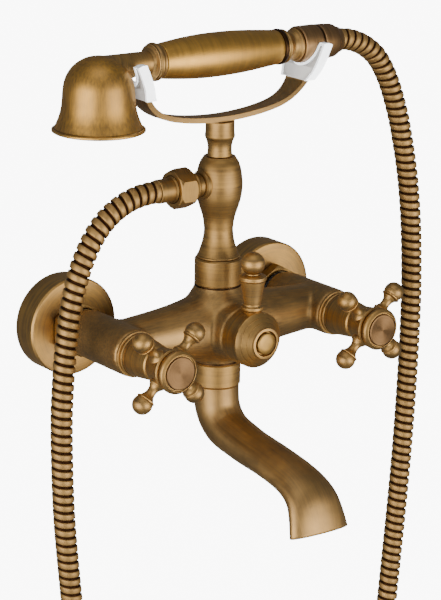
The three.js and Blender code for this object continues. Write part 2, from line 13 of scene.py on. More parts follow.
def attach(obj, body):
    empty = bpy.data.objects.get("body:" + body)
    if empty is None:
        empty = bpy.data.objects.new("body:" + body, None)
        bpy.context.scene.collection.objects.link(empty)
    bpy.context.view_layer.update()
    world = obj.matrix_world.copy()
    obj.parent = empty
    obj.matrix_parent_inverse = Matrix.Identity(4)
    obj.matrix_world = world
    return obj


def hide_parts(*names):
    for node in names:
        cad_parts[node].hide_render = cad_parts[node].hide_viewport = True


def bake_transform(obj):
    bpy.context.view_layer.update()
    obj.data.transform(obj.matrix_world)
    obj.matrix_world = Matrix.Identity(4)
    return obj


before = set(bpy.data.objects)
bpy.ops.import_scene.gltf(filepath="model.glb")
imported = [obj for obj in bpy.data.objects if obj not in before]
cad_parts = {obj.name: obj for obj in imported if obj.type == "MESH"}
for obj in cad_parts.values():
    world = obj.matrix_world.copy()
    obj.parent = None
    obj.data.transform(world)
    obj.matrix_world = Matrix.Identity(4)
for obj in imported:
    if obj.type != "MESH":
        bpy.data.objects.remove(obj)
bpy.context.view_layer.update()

# ---- dimensions, in millimetres ----------------------------------------------------------
MM = 0.001                     # in metres
AXIS_Y = -61.5                 # cross tube, column and spout
INLETS = {"hot": -75.0, "cold": 75.0}
ARM_Y = -116.0                 # plane of the handle arms
LEVER_Y = -96.0
OUTLET_Z = 88.5                # hose outlet on the column
HANDSET_Z = 166.0              # axis of the handset's handle
BELL_X = -86.6
HOSE_RADIUS = 6.75
HOSE_PITCH = 5.35              # one turn of the hose's wound strip
GROOVE_DEPTH = 1.15            # of the grooves between its ribs
BAND_THICKNESS = 3.2

FRONT = Vector((0, -1, 0))     # away from the wall
UP = Vector((0, 0, 1))
COLD = Vector((1, 0, 0))       # towards the cold inlet

# ---- viewpoint and studio, in metres -----------------------------------------------------
CAMERA_AT = (-0.8343, -1.1728, 0.4237)
CAMERA_ANGLES = (-36.7, 16.4, 0.8)     # azimuth, elevation and roll, in degrees
CAMERA_LENS = 143.6                    # focal length in millimetres
CAMERA_SHIFT = (0.0183, 0.0008)
AIM = (0, -0.06, 0.03)                 # what the lights point at
LIGHT_COLOUR = (1.0, 0.92, 0.78)
LIGHTS = {                             # place, width and height, power in watts
    "key": ((-1.5, -0.5, -0.05), (1.5, 1.2), 26),
    "front": ((0.45, -1.7, -0.12), (1.5, 1.2), 25),
    "top": ((-0.4, -0.6, 1.9), (1.4, 1.4), 7),
}
SKY_COLOUR = (0.92, 0.95, 1.0, 1)
SKY_STRENGTH = 0.16
FLOOR_HALF = 9.0
FLOOR_Z = -0.76
GLOW_FROM, GLOW_TO = 0.95, 1.5         # distances from the origin over which the floor brightens
GLOW_STRENGTH = 9.0


# ---- curves and profiles -----------------------------------------------------------------
def flowing(points, steps=5):
    """A smooth line through the points, whatever their number of coordinates."""
    points = [Vector(p) for p in points]
    padded = [2 * points[0] - points[1], *points, 2 * points[-1] - points[-2]]
    line = []
    for a, b, c, d in zip(padded, padded[1:], padded[2:], padded[3:]):
        for i in range(steps):
            t = i / steps
            line.append(0.5 * (2 * b + (c - a) * t + (2 * a - 5 * b + 4 * c - d) * t * t
                               + (3 * b - a - 3 * c + d) * t ** 3))
    return [tuple(p) for p in line] + [tuple(points[-1])]


def arc(centre_r, centre_s, radius, start, end, steps=8):
    """Points of an arc in a turned profile, with its angles in degrees."""
    angles = [math.radians(start + (end - start) * i / steps) for i in range(steps + 1)]
    return [(centre_r + radius * math.cos(a), centre_s + radius * math.sin(a)) for a in angles]


def rounded(profile, fillet, is_closed):
    """The profile with its corners eased, as (radius, station, edge value) with that value from the corner.

    The value is above 0 on an outer edge, where a highlight is painted, and below 0 in a groove, where
    shade is painted.
    """
    points = [Vector(p[:2]) for p in profile]
    count = len(points)
    eased = []
    for i, corner in enumerate(points):
        if not is_closed and i in (0, count - 1):
            eased.append((*corner, 0.0))
            continue
        before = corner - points[i - 1]
        after = points[(i + 1) % count] - corner
        turn = math.atan2(before.x * after.y - before.y * after.x, before.dot(after))
        if fillet == 0 or abs(turn) < math.radians(17):
            eased.append((*corner, 0.0))
            continue
        reach = min(fillet * abs(math.tan(turn / 2)), 0.4 * before.length, 0.4 * after.length)
        start = corner - before.normalized() * reach
        end = corner + after.normalized() * reach
        # Outer corners get a painted highlight and inner corners get painted shade.
        painted_light = max(-1.0, min(1.0, turn / 1.2))
        for t in (-0.35, 0, 0.25, 0.5, 0.75, 1, 1.35):
            if t < 0:
                point = start + (start - corner) * 0.35
            elif t > 1:
                point = end + (end - corner) * 0.35
            else:
                point = start * (1 - t) ** 2 + corner * 2 * t * (1 - t) + end * t * t
            eased.append((*point, painted_light if 0 <= t <= 1 else 0.0))
    return eased


# ---- objects -----------------------------------------------------------------------------
def new_object(name, vertices, faces, painted_light=None):
    mesh = bpy.data.meshes.new(name)
    mesh.from_pydata([Vector(v) * MM for v in vertices], [], faces)
    # This per-vertex value becomes painted highlights and painted shade in the brass materials.
    if painted_light:
        mesh.attributes.new("painted_light", "FLOAT", "POINT").data.foreach_set("value", painted_light)
    made = bmesh.new()
    made.from_mesh(mesh)
    bmesh.ops.recalc_face_normals(made, faces=made.faces)
    made.to_mesh(mesh)
    made.free()
    mesh.polygons.foreach_set("use_smooth", [True] * len(mesh.polygons))
    piece = bpy.data.objects.new(name, mesh)
    bpy.context.scene.collection.objects.link(piece)
    return piece


def stand(piece, at, direction):
    """Puts a piece made along its own Z at a point, with that Z turned to the direction."""
    turn = direction.to_track_quat("Z", "Y").to_matrix().to_4x4()
    piece.matrix_world = Matrix.Translation(Vector(at) * MM) @ turn
    return piece


def finished(piece, material, body, nodes):
    """Gives a piece its material, the body it moves with and the CAD nodes it stands for."""
    piece.data.materials.clear()
    piece.data.materials.append(material)
    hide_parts(*nodes)
    if body:
        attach(piece, body)
    return piece


def turned(name, profile, at, direction, bore=None, segments=80, fillet=0.3):
    """A lathe piece along `direction`: its profile is [(radius, station), ...] from low to high.

    A piece with a bore is a ring, and any other is closed on its axis.
    """
    ends = [(bore or 0, profile[-1][1]), (bore or 0, profile[0][1])]
    outline = [ends[1], *profile, ends[0]]
    line = rounded(outline, fillet, is_closed=bore is not None)
    vertices, painted_light, rings = [], [], []
    # Each profile point carries its value for painted highlight and painted shade.
    for radius, station, light_mark in line:
        on_axis = radius < 1e-4
        count = 1 if on_axis else segments
        rings.append(range(len(vertices), len(vertices) + count))
        for k in range(count):
            angle = 2 * math.pi * k / segments
            vertices.append((radius * math.cos(angle), radius * math.sin(angle), station))
            painted_light.append(light_mark)
    pairs = list(zip(rings, rings[1:]))
    if bore is not None:
        pairs.append((rings[-1], rings[0]))
    faces = []
    for low, high in pairs:
        for k in range(segments):
            corners = [low[k % len(low)], low[(k + 1) % len(low)],
                       high[(k + 1) % len(high)], high[k % len(high)]]
            faces.append(list(dict.fromkeys(corners)))
    return stand(new_object(name, vertices, [f for f in faces if len(f) > 2], painted_light), at, direction)


def apply_modifiers(piece):
    """Turns the piece's modifiers into plain mesh."""
    bpy.context.view_layer.update()
    evaluated = piece.evaluated_get(bpy.context.evaluated_depsgraph_get())
    mesh = bpy.data.meshes.new_from_object(evaluated)
    piece.modifiers.clear()
    piece.data = mesh
    return piece


def remove(*pieces):
    for piece in pieces:
        bpy.data.objects.remove(piece, do_unlink=True)


def boolean(piece, tool, operation):
    """Cuts or joins a piece with a tool, which is used up."""
    modifier = piece.modifiers.new("boolean", "BOOLEAN")
    modifier.operation = operation
    modifier.solver = "EXACT"
    modifier.object = tool
    apply_modifiers(piece)
    remove(tool)
    return piece


def bevelled(piece, width, segments=3, angle=32):
    """Rounds a piece's sharp edges and shades its faces smooth."""
    modifier = piece.modifiers.new("bevel", "BEVEL")
    modifier.width = width * MM
    modifier.segments = segments
    modifier.limit_method = "ANGLE"
    modifier.angle_limit = math.radians(angle)
    modifier.harden_normals = True
    piece.data.polygons.foreach_set("use_smooth", [True] * len(piece.data.polygons))
    return apply_modifiers(piece)


def prism(name, outline, low, high, place_point):
    """Extrudes a flat outline between two stations; place_point turns (u, v, w) into X, Y, Z."""
    count = len(outline)
    vertices = [place_point(u, v, w) for w in (low, high) for u, v in outline]
    faces = [list(range(count)), list(range(2 * count - 1, count - 1, -1))]
    faces += [[i, (i + 1) % count, count + (i + 1) % count, count + i] for i in range(count)]
    return new_object(name, vertices, faces)


# ---- materials ---------------------------------------------------------------------------
class Shader:
    """A material's node tree with one Principled shader, built node by node."""

    def __init__(self, name, roughness, metallic=0.0, **constants):
        self.material = bpy.data.materials.new(name)
        self.material.use_nodes = True
        self.nodes = self.material.node_tree.nodes
        self.links = self.material.node_tree.links
        self.shader = self.nodes["Principled BSDF"]
        self.shader.inputs["Metallic"].default_value = metallic
        self.shader.inputs["Roughness"].default_value = roughness
        for socket, value in constants.items():
            self.shader.inputs[socket.replace("_", " ")].default_value = value

    def node(self, kind, inputs=(), **settings):
        """Adds a node; an input is a number, a tuple or another node's output."""
        made = self.nodes.new(kind)
        for key, value in settings.items():
            setattr(made, key, value)
        for socket, value in dict(inputs).items():
            if isinstance(value, bpy.types.NodeSocket):
                self.links.new(value, made.inputs[socket])
            else:
                made.inputs[socket].default_value = value
        return made

    def math(self, operation, a, b=0.0):
        return self.node("ShaderNodeMath", {0: a, 1: b}, operation=operation).outputs[0]

    def noise(self, vector, scale, detail=3.0, roughness=0.55):
        inputs = {"Vector": vector, "Scale": scale, "Detail": detail, "Roughness": roughness}
        return self.node("ShaderNodeTexNoise", inputs).outputs["Fac"]

    def remap(self, value, low, high, to_low, to_high):
        inputs = {"Value": value, "From Min": low, "From Max": high,
                  "To Min": to_low, "To Max": to_high}
        return self.node("ShaderNodeMapRange", inputs).outputs[0]

    def mix(self, factor, a, b):
        made = self.node("ShaderNodeMix", data_type="RGBA", blend_type="MIX")
        for socket, value in ((0, factor), (6, a), (7, b)):
            if isinstance(value, bpy.types.NodeSocket):
                self.links.new(value, made.inputs[socket])
            else:
                made.inputs[socket].default_value = value
        return made.outputs[2]

    def feed(self, socket, value):
        self.links.new(value, self.shader.inputs[socket])

    def bump(self, height, strength, distance):
        inputs = {"Height": height, "Strength": strength, "Distance": distance * MM}
        self.feed("Normal", self.node("ShaderNodeBump", inputs).outputs["Normal"])


def grain_coordinates(build, point, grain):
    """Coordinates that stretch a noise into brush marks: round an axis, along it or across it."""
    split = build.node("ShaderNodeSeparateXYZ", {"Vector": point})
    x, y, z = split.outputs
    slow, fast = 26.0, 900.0
    if grain == "round":
        flat = build.node("ShaderNodeCombineXYZ", {"X": x, "Y": y})
        radius = build.node("ShaderNodeVectorMath", {0: flat.outputs[0]}, operation="LENGTH")
        across = build.math("ADD", z, radius.outputs["Value"])
        parts = (build.math("MULTIPLY", across, fast), build.math("MULTIPLY", x, slow),
                 build.math("MULTIPLY", y, slow))
    else:
        scales = {"along": (fast, fast, slow), "sideways": (slow, fast, fast),
                  "forward": (fast, slow, slow)}[grain]
        parts = [build.math("MULTIPLY", value, scale) for value, scale in zip((x, y, z), scales)]
    return build.node("ShaderNodeCombineXYZ", dict(zip("XYZ", parts))).outputs[0]


def brass(name, light, dark, roughness, grain, streaks=1.0, anisotropy=0.35):
    """Brushed antique brass: brush marks, uneven patina, painted shade in grooves and painted highlights on
    outer edges.
    """
    build = Shader(name, roughness, metallic=1.0, Anisotropic=anisotropy if grain == "round" else 0.0)
    point = build.node("ShaderNodeTexCoord").outputs["Object"]
    marks = build.noise(grain_coordinates(build, point, grain), 1.0, 3.0, 0.6)
    patina = build.noise(point, 55.0, 4.0, 0.6)
    painted_light = build.node("ShaderNodeAttribute", attribute_name="painted_light").outputs["Fac"]
    tone = build.math("ADD", build.remap(marks, 0.25, 0.75, -0.5 * streaks, 0.5 * streaks),
                      build.remap(patina, 0.3, 0.7, 0.35, 0.85))
    colour = build.mix(build.remap(tone, 0.0, 1.0, 0.0, 1.0), (*dark, 1), (*light, 1))
    # Painted highlight on outer edges and on the spout's lip.
    bright = [min(1.0, channel * 1.35 + 0.06) for channel in light]
    colour = build.mix(build.remap(painted_light, 0.15, 1.0, 0.0, 0.75), colour, (*bright, 1))
    # Painted shade in grooves and inner corners.
    painted_shade_colour = [channel * 0.32 for channel in dark]
    colour = build.mix(build.remap(painted_light, -0.1, -0.8, 0.0, 0.85), colour, (*painted_shade_colour, 1))
    build.feed("Base Color", colour)
    build.feed("Roughness", build.remap(marks, 0.2, 0.8, roughness - 0.07, roughness + 0.1))
    build.bump(marks, 0.25 * streaks, 0.06)
    if grain == "round":
        tangent = build.node("ShaderNodeTangent", direction_type="RADIAL", axis="Z")
        build.feed("Tangent", tangent.outputs[0])
    return build.material


def nylon(name, dark, light, painted_glow):
    """Milky moulded nylon that lets some light through and glows a little, which is painted light."""
    build = Shader(name, 0.38, Transmission_Weight=0.12, IOR=1.52)
    point = build.node("ShaderNodeTexCoord").outputs["Object"]
    cloud = build.noise(point, 90.0, 4.0)
    grain = build.noise(point, 1400.0, 2.0)
    build.feed("Base Color", build.mix(cloud, dark, light))
    build.feed("Roughness", build.remap(cloud, 0.3, 0.7, 0.3, 0.46))
    # The emission is painted light that whitens the nylon.
    build.shader.inputs["Emission Color"].default_value = light
    build.shader.inputs["Emission Strength"].default_value = painted_glow
    build.bump(grain, 0.12, 0.05)
    return build.material


def plain_finish(name, light, dark, roughness, metallic, scale):
    """A simple mottled finish for the pieces that stay inside or in shadow."""
    build = Shader(name, roughness, metallic)
    point = build.node("ShaderNodeTexCoord").outputs["Object"]
    mottle = build.noise(point, scale, 4.0)
    build.feed("Base Color", build.mix(mottle, (*dark, 1), (*light, 1)))
    build.feed("Roughness", build.remap(mottle, 0.3, 0.7, roughness - 0.06, roughness + 0.08))
    build.bump(mottle, 0.2, 0.05)
    return build.material


def hose_brass():
    """The hose's wound strip: ribs that are painted darker from their crests down into grooves painted very
    dark, as painted shade.
    """
    build = Shader("hose_brass", 0.42, metallic=1.0)
    point = build.node("ShaderNodeTexCoord").outputs["Object"]
    patina = build.noise(point, 70.0, 4.0, 0.6)
    grain = build.noise(point, 900.0, 3.0)
    painted_light = build.node("ShaderNodeAttribute", attribute_name="painted_light").outputs["Fac"]
    rib = build.mix(patina, (0.42, 0.26, 0.10, 1), (0.64, 0.42, 0.17, 1))
    # Painted shade: the ribs darken towards the grooves, which are painted near black.
    colour = build.mix(build.remap(painted_light, 0.3, 0.97, 0.0, 1.0), (0.045, 0.018, 0.008, 1), rib)
    build.feed("Base Color", colour)
    build.feed("Roughness", build.remap(grain, 0.3, 0.7, 0.50, 0.62))
    build.bump(grain, 0.15, 0.05)
    return build.material


LIGHT = (0.74, 0.425, 0.10)
DARK = (0.27, 0.17, 0.083)
TURNED_LIGHT = (0.66, 0.405, 0.13)
TURNED_DARK = (0.25, 0.168, 0.095)
CAST_LIGHT = (0.60, 0.38, 0.145)
CAST_DARK = (0.25, 0.165, 0.088)
BROWN_LIGHT = (0.50, 0.31, 0.105)
BROWN_DARK = (0.20, 0.125, 0.06)
COPPER_LIGHT = (0.42, 0.26, 0.12)
COPPER_DARK = (0.24, 0.135, 0.068)

MATERIALS = {
    "round": brass("antique_brass_turned", TURNED_LIGHT, TURNED_DARK, 0.44, "round", 0.6),
    "along": brass("antique_brass_lengthwise", LIGHT, DARK, 0.44, "along", 0.55),
    "forward": brass("antique_brass_forward", CAST_LIGHT, CAST_DARK, 0.46, "forward", 0.4),
    "satin": brass("antique_brass_satin", (0.86, 0.50, 0.12), (0.46, 0.27, 0.09), 0.40, "round", 0.35),
    "brown": brass("antique_brass_brown", BROWN_LIGHT, BROWN_DARK, 0.44, "round", 0.6),
    "sideways": brass("antique_brass_sideways", CAST_LIGHT, CAST_DARK, 0.46, "sideways", 0.5),
    "disc": brass("handle_disc_brass", (0.26, 0.155, 0.075), (0.12, 0.07, 0.035), 0.36, "round", 0.6, 0.85),
    "copper": brass("copper_brass", COPPER_LIGHT, COPPER_DARK, 0.42, "round", 0.8),
    "polished": brass("polished_brass", (0.58, 0.36, 0.10), (0.34, 0.21, 0.08), 0.42, "round", 0.5),
    # Dark metal for the handset's end ring, and painted shade for the dark rings in the seams at the
    # collars and the swivel.
    "black": plain_finish("dark_metal_and_painted_shade", (0.09, 0.05, 0.025), (0.04, 0.022, 0.012), 0.4, 1.0, 300),
    "hidden": plain_finish("plain_brass", (0.70, 0.55, 0.30), (0.55, 0.42, 0.22), 0.35, 1.0, 200),
    "steel": plain_finish("steel", (0.62, 0.62, 0.60), (0.45, 0.45, 0.44), 0.3, 1.0, 260),
    "rubber": plain_finish("rubber", (0.04, 0.04, 0.04), (0.02, 0.02, 0.02), 0.75, 0.0, 400),
    "ceramic": plain_finish("ceramic", (0.86, 0.84, 0.79), (0.78, 0.76, 0.71), 0.25, 0.0, 150),
    "grey": plain_finish("grey_plastic", (0.20, 0.19, 0.18), (0.13, 0.125, 0.12), 0.5, 0.0, 250),
    # The sleeves' nylon glows a little: painted light.
    "nylon": nylon("nylon", (0.86, 0.90, 0.95, 1), (0.94, 0.97, 1.0, 1), 0.3),
    # Dark strip in the sleeves' channels: the metal band showing through the nylon, and painted shade in
    # the channel.
    "metal_through_nylon_and_shade": nylon("nylon_over_metal_and_painted_shade", (0.27, 0.26, 0.25, 1), (0.42, 0.41, 0.40, 1), 0.0),
    "hose": hose_brass(),
}


# ---- camera, lights and floor ------------------------------------------------------------
def camera():
    azimuth, elevation, roll = (math.radians(angle) for angle in CAMERA_ANGLES)
    back = Vector((math.sin(azimuth) * math.cos(elevation),
                   -math.cos(azimuth) * math.cos(elevation), math.sin(elevation)))
    level = Vector((math.cos(azimuth), math.sin(azimuth), 0))
    upright = back.cross(level)
    right = math.cos(roll) * level + math.sin(roll) * upright
    up = math.cos(roll) * upright - math.sin(roll) * level
    data = bpy.data.cameras.new("camera")
    data.lens = CAMERA_LENS
    data.shift_x, data.shift_y = CAMERA_SHIFT
    seen_from = bpy.data.objects.new("camera", data)
    turn = Matrix((right, up, back)).transposed().to_4x4()
    seen_from.matrix_world = Matrix.Translation(CAMERA_AT) @ turn
    bpy.context.scene.collection.objects.link(seen_from)
    bpy.context.scene.camera = seen_from


def area_light(name, position, size, power):
    data = bpy.data.lights.new(name, "AREA")
    data.color = LIGHT_COLOUR
    data.shape = "RECTANGLE"
    data.size, data.size_y = size
    data.energy = power
    light = bpy.data.objects.new(name, data)
    aim = Vector(AIM) - Vector(position)
    light.matrix_world = (Matrix.Translation(position)
                          @ aim.to_track_quat("-Z", "Y").to_matrix().to_4x4())
    bpy.context.scene.collection.objects.link(light)


def sky():
    world = bpy.data.worlds.new("studio")
    bpy.context.scene.world = world
    world.use_nodes = True
    background = world.node_tree.nodes["Background"]
    background.inputs["Color"].default_value = SKY_COLOUR
    background.inputs["Strength"].default_value = SKY_STRENGTH


def lay_floor():
    """A plain pale floor that brightens to white away from the faucet.

    Glossy rays miss it, so the undersides of the brass stay dark.
    """
    build = Shader("floor", 0.9)
    point = build.node("ShaderNodeTexCoord").outputs["Object"]
    mottle = build.noise(point, 2.0)
    build.feed("Base Color", build.mix(mottle, (0.93, 0.93, 0.92, 1), (0.96, 0.96, 0.95, 1)))
    distance = build.node("ShaderNodeVectorMath", {0: point}, operation="LENGTH")
    build.feed("Emission Strength",
               build.remap(distance.outputs["Value"], GLOW_FROM, GLOW_TO, 0.0, GLOW_STRENGTH))
    build.shader.inputs["Emission Color"].default_value = (1, 1, 1, 1)
    half, z = FLOOR_HALF / MM, FLOOR_Z / MM
    corners = [(-half, -half, z), (half, -half, z), (half, half, z), (-half, half, z)]
    floor = new_object("floor", corners, [[0, 1, 2, 3]])
    floor.data.materials.append(build.material)
    floor.visible_glossy = False


def studio():
    """An even pale sky, three soft lights and the floor."""
    sky()
    for name, (position, size, power) in LIGHTS.items():
        area_light(name, position, size, power)
    lay_floor()


# ---- the hose ----------------------------------------------------------------------------
# The hose's centre line as (x, z), from the column to the handset, in the plane of AXIS_Y.
HOSE_ROUTE = [
    (-46.4, 88.5), (-48.4, 88.5), (-59.4, 87.3), (-70.4, 83.7), (-80.6, 77.4), (-89.2, 68.4),
    (-96, 57), (-101.4, 44), (-105.4, 29), (-108.6, 10), (-111.2, -14), (-112.6, -46), (-111.2, -98),
    (-106, -155), (-97, -244), (-85, -333), (-72, -407), (-59, -461), (-44, -497), (-21, -525),
    (9, -541), (43, -541), (73, -526), (96, -499), (113, -461), (126, -398), (137, -309), (145, -217),
    (153.2, -112), (156.2, -24), (154.4, 30), (149.6, 70), (142, 104), (135.4, 124.4), (128.4, 140),
    (119.8, 152.4), (109, 160.6), (98, 164.9), (90.4, 166), (88.4, 166),
]


def even_stations(points, spacing):
    """The line through the points, cut into near equal steps."""
    line = [Vector(p) for p in points]
    lengths = [0.0]
    for a, b in zip(line, line[1:]):
        lengths.append(lengths[-1] + (b - a).length)
    count = round(lengths[-1] / spacing)
    even, i = [], 0
    for k in range(count + 1):
        target = lengths[-1] * k / count
        while i < len(line) - 2 and lengths[i + 1] < target:
            i += 1
        t = (target - lengths[i]) / (lengths[i + 1] - lengths[i])
        even.append(line[i].lerp(line[i + 1], t))
    return even


def rib(phase):
    """Height of the wound strip over one pitch, from 0 in the groove to 1 on the rib."""
    from_middle = abs(phase % 1.0 - 0.5) * 2
    crest, foot, crown = 0.70, 0.80, 0.14
    if from_middle < crest:
        return 1.0 - crown * (from_middle / crest) ** 2
    return (1.0 - crown) * max(0.0, foot - from_middle) / (foot - crest)


def hose():
    """One wound strip with right-handed ribs, following the hanging loop."""
    sides, samples = 18, 10
    route = flowing(HOSE_ROUTE, 24)
    line = even_stations(route, HOSE_PITCH / samples)
    vertices, painted_light, faces = [], [], []
    last = len(line) - 1
    turns = range(-samples, last + 1)
    for i in turns:
        for k in range(sides):
            station = min(max(i + samples * k / sides, 0), last)
            low = min(int(station), last - 1)
            centre = line[low].lerp(line[low + 1], station - low)
            ahead, behind = line[min(low + 4, last)], line[max(low - 3, 0)]
            along = (ahead - behind).normalized()
            height = rib(i / samples)
            radius = HOSE_RADIUS - GROOVE_DEPTH * (1 - height)
            angle = 2 * math.pi * k / sides
            out = radius * math.cos(angle)
            vertices.append((centre.x - along.y * out, AXIS_Y + radius * math.sin(angle),
                             centre.y + along.x * out))
            # The rib height also places the painted shade in the hose's grooves.
            painted_light.append(height)
    rows = len(turns)
    for i in range(rows - 1):
        for k in range(sides - 1):
            a = i * sides + k
            faces.append([a, a + 1, a + sides + 1, a + sides])
        j = i + samples
        if j + 1 < rows:
            a = i * sides + sides - 1
            faces.append([a, j * sides, (j + 1) * sides, a + sides])
    piece = new_object("shower_hose_wound", vertices, faces, painted_light)
    finished(piece, MATERIALS["hose"], None, ["shower_hose"])
    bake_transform(piece)


# ---- wall connections --------------------------------------------------------------------
def wall_connection(side, x):
    shell = turned(f"escutcheon_drum_{side}", [
        (30.0, 0), (30.2, 0.6), (30.2, 16.9), (29.4, 18.2), (27.6, 18.5), (20, 18.6), (14.4, 18.7),
    ], (x, 0, 0), FRONT, bore=13.8, segments=112, fillet=0.35)
    finished(shell, MATERIALS["round"], "body", [f"escutcheon_{side}"])
    nut = hex_nut(f"union_hexagon_{side}", 30, 19.4, 26.8, 0.9, 13.8, (x, 0, 0), FRONT)
    finished(nut, MATERIALS["brown"], "body", [f"union_nut_{side}"])


def hex_nut(name, across_flats, low, high, chamfer, bore, at, direction):
    """A hexagon nut with chamfered corners, bored through."""
    corner = across_flats / math.sqrt(3)
    outline = [(corner * math.cos(a), corner * math.sin(a)) for a in
               (math.radians(30 + 60 * i) for i in range(6))]
    nut = prism(name, outline, low, high, lambda u, v, w: (u, v, w))
    flats = across_flats / 2
    blank = turned(name + "_blank", [
        (flats - 0.3, low), (flats + 0.5, low + 0.3 * chamfer), (corner + 0.4, low + chamfer * 1.6),
        (corner + 0.4, high - chamfer * 1.6), (flats + 0.5, high - 0.3 * chamfer), (flats - 0.3, high),
    ], (0, 0, 0), UP, bore=bore, segments=96, fillet=0.05)
    boolean(nut, blank, "INTERSECT")
    bevelled(nut, 0.25, 2)
    return stand(nut, at, direction)


# ---- mixer body --------------------------------------------------------------------------
def melted(pieces, voxel, passes):
    """Joins overlapping pieces into one skin with soft cast corners."""
    main = pieces[0]
    together = bmesh.new()
    for piece in pieces:
        piece.data.transform(piece.matrix_world)
        together.from_mesh(piece.data)
    together.to_mesh(main.data)
    together.free()
    main.matrix_world = Matrix.Identity(4)
    remove(*pieces[1:])
    remesh = main.modifiers.new("remesh", "REMESH")
    remesh.mode = "VOXEL"
    remesh.voxel_size = voxel * MM
    smooth = main.modifiers.new("smooth", "SMOOTH")
    smooth.factor = 0.5
    smooth.iterations = passes
    apply_modifiers(main)
    main.data.polygons.foreach_set("use_smooth", [True] * len(main.data.polygons))
    return main


def mixer_body():
    centre = (0, AXIS_Y, 0)
    half = [(20.4, 0), (20.2, 12), (19.2, 21), (17.8, 29), (16.6, 38), (15.6, 49), (14.8, 60), (14.2, 68),
            (13.2, 75), (11.4, 82), (8.6, 86), (4, 88.4)]
    tube = flowing([(r, -s) for r, s in reversed(half[1:])] + half, 3)
    core = [turned("mixer_casting", tube, centre, COLD, fillet=0)]
    neck = flowing([(13.8, -28), (13.9, -22.6), (14.4, -19.4), (16, -16.4), (19.8, -11), (21.4, -3),
                    (21.6, 5), (21.0, 11), (18.8, 17), (16.2, 21), (14.7, 23.6), (13.9, 26), (13.6, 30)],
                   3)
    core.append(turned("neck", neck, centre, UP, fillet=0))
    pieces = [melted(core, 1.0, 60)]
    boss = [*flowing([(24, 56), (22.2, 64), (20.1, 70), (18.2, 76.5), (17.3, 83.5)], 3), (17.3, 88.9)]
    pieces.append(turned("boss", boss, (0, 0, 0), FRONT, fillet=0))
    for x in INLETS.values():
        limb = [*flowing([(12.6, 27.2), (13.4, 28.6), (14.0, 31.4), (14.5, 37)], 4), (14.5, 83.3)]
        pieces.append(turned("limb", limb, (x, 0, 0), FRONT, fillet=0))
    casting = melted(pieces, 1.0, 30)
    finished(casting, MATERIALS["sideways"], "body", ["mixer_body"])


# ---- valves and cross handles ------------------------------------------------------------
def handle_arm(name, x, angle, body, node):
    """A turned arm: root nub, slim waist, thin bright lip and a ball."""
    direction = Vector((math.sin(angle), 0, math.cos(angle)))
    profile = [(4.7, 10.9), (4.8, 12.4),
               *flowing([(4.2, 13.0), (3.2, 14.6), (2.8, 16.8), (3.2, 19.2), (4.4, 21.4)], 4),
               (5.6, 22.1), (5.7, 22.75), (5.0, 23.0), *arc(0, 25.9, 6, -27, 88, 14)]
    arm = turned(name, profile, (x, ARM_Y, 0), direction, segments=48, fillet=0.25)
    finished(arm, MATERIALS["round"], body, [node])


def valve_handle(side, x):
    at = (x, 0, 0)
    body = f"handle_{side}"
    bonnet = [(13.9, 83.4), (13.9, 84.7), (12.6, 85.0), (12.6, 85.4), (13.1, 85.6), (13.1, 86.8),
              (12.3, 87.2), (12.3, 90), (10.5, 105.6), (9.8, 106.5)]
    finished(turned(f"valve_shroud_{side}", bonnet, at, FRONT, bore=8.7),
             MATERIALS["round"], "body", [f"valve_bonnet_{side}"])
    hub = [(9.2, 107.0), (10.2, 107.3),
           *flowing([(10.4, 108.4), (10.9, 112), (11.4, 116), (12.3, 118.8)], 4), (12.6, 119.4),
           (12.6, 120.6), (11.8, 121.3)]
    finished(turned(f"handle_boss_{side}", hub, at, FRONT, bore=3.2, fillet=0.25),
             MATERIALS["round"], body, [f"handle_hub_{side}"])
    rim = [(10.9, 121.8), (10.9, 122.6), *arc(10.6, 125.1, 2.4, -78, 62, 8), (10.9, 127.9), (10.5, 127.2),
           (10.2, 127.2)]
    finished(turned(f"handle_rim_{side}", rim, at, FRONT, bore=4, fillet=0.2),
             MATERIALS["round"], body, [f"handle_cap_{side}"])
    disc = [(10.0, 127.3), (9.8, 128.2), (9.2, 128.4)]
    finished(turned(f"handle_disc_{side}", disc, at, FRONT, fillet=0.2), MATERIALS["disc"],
             body, [])
    corners = ("upper_right", "lower_right", "lower_left", "upper_left")
    for eighth, corner in zip((1, 3, 5, 7), corners):
        handle_arm(f"arm_{corner}_{side}", x, eighth * math.pi / 4, body, f"handle_arm_{corner}_{side}")


# ---- diverter ----------------------------------------------------------------------------
def diverter():
    knob = [(16.4, 89.0), (16.9, 89.3), (16.9, 101.9), (16.2, 102.8), (14.4, 104.2), (14.2, 104.7),
            (12.0, 106.6), (11.8, 107.2), (9.7, 109.0), (9.3, 110.3), (7.9, 110.5), (7.7, 110.2),
            (7.7, 107.2)]
    finished(turned("diverter_dome", knob, (0, 0, 0), FRONT, bore=3.9, fillet=0.25),
             MATERIALS["round"], "diverter", ["diverter_knob"])
    button = [(6.6, 107.4), (6.6, 110.7), *flowing([(6.1, 111.2), (4.2, 111.7), (1.5, 111.9)], 4)]
    finished(turned("diverter_button", button, (0, 0, 0), FRONT, segments=56),
             MATERIALS["polished"], "diverter", ["diverter_cap"])
    lever = [(5.4, 15.4), (5.8, 17.2), (6.4, 18.2), (6.4, 19.6), (5.3, 20.4), (5.0, 21.4),
             *flowing([(5.2, 22.4), (5.9, 27), (6.8, 31.6), (7.6, 35.6)], 4), (8.2, 36.4), (8.2, 38.2),
             (7.0, 38.9), (4.4, 39.4), (4.3, 40.0), *arc(0, 45.9, 7.1, -52, 88, 16)]
    finished(turned("diverter_handle", lever, (0, LEVER_Y, 0), UP, segments=56, fillet=0.25),
             MATERIALS["round"], "diverter", ["diverter_lever"])


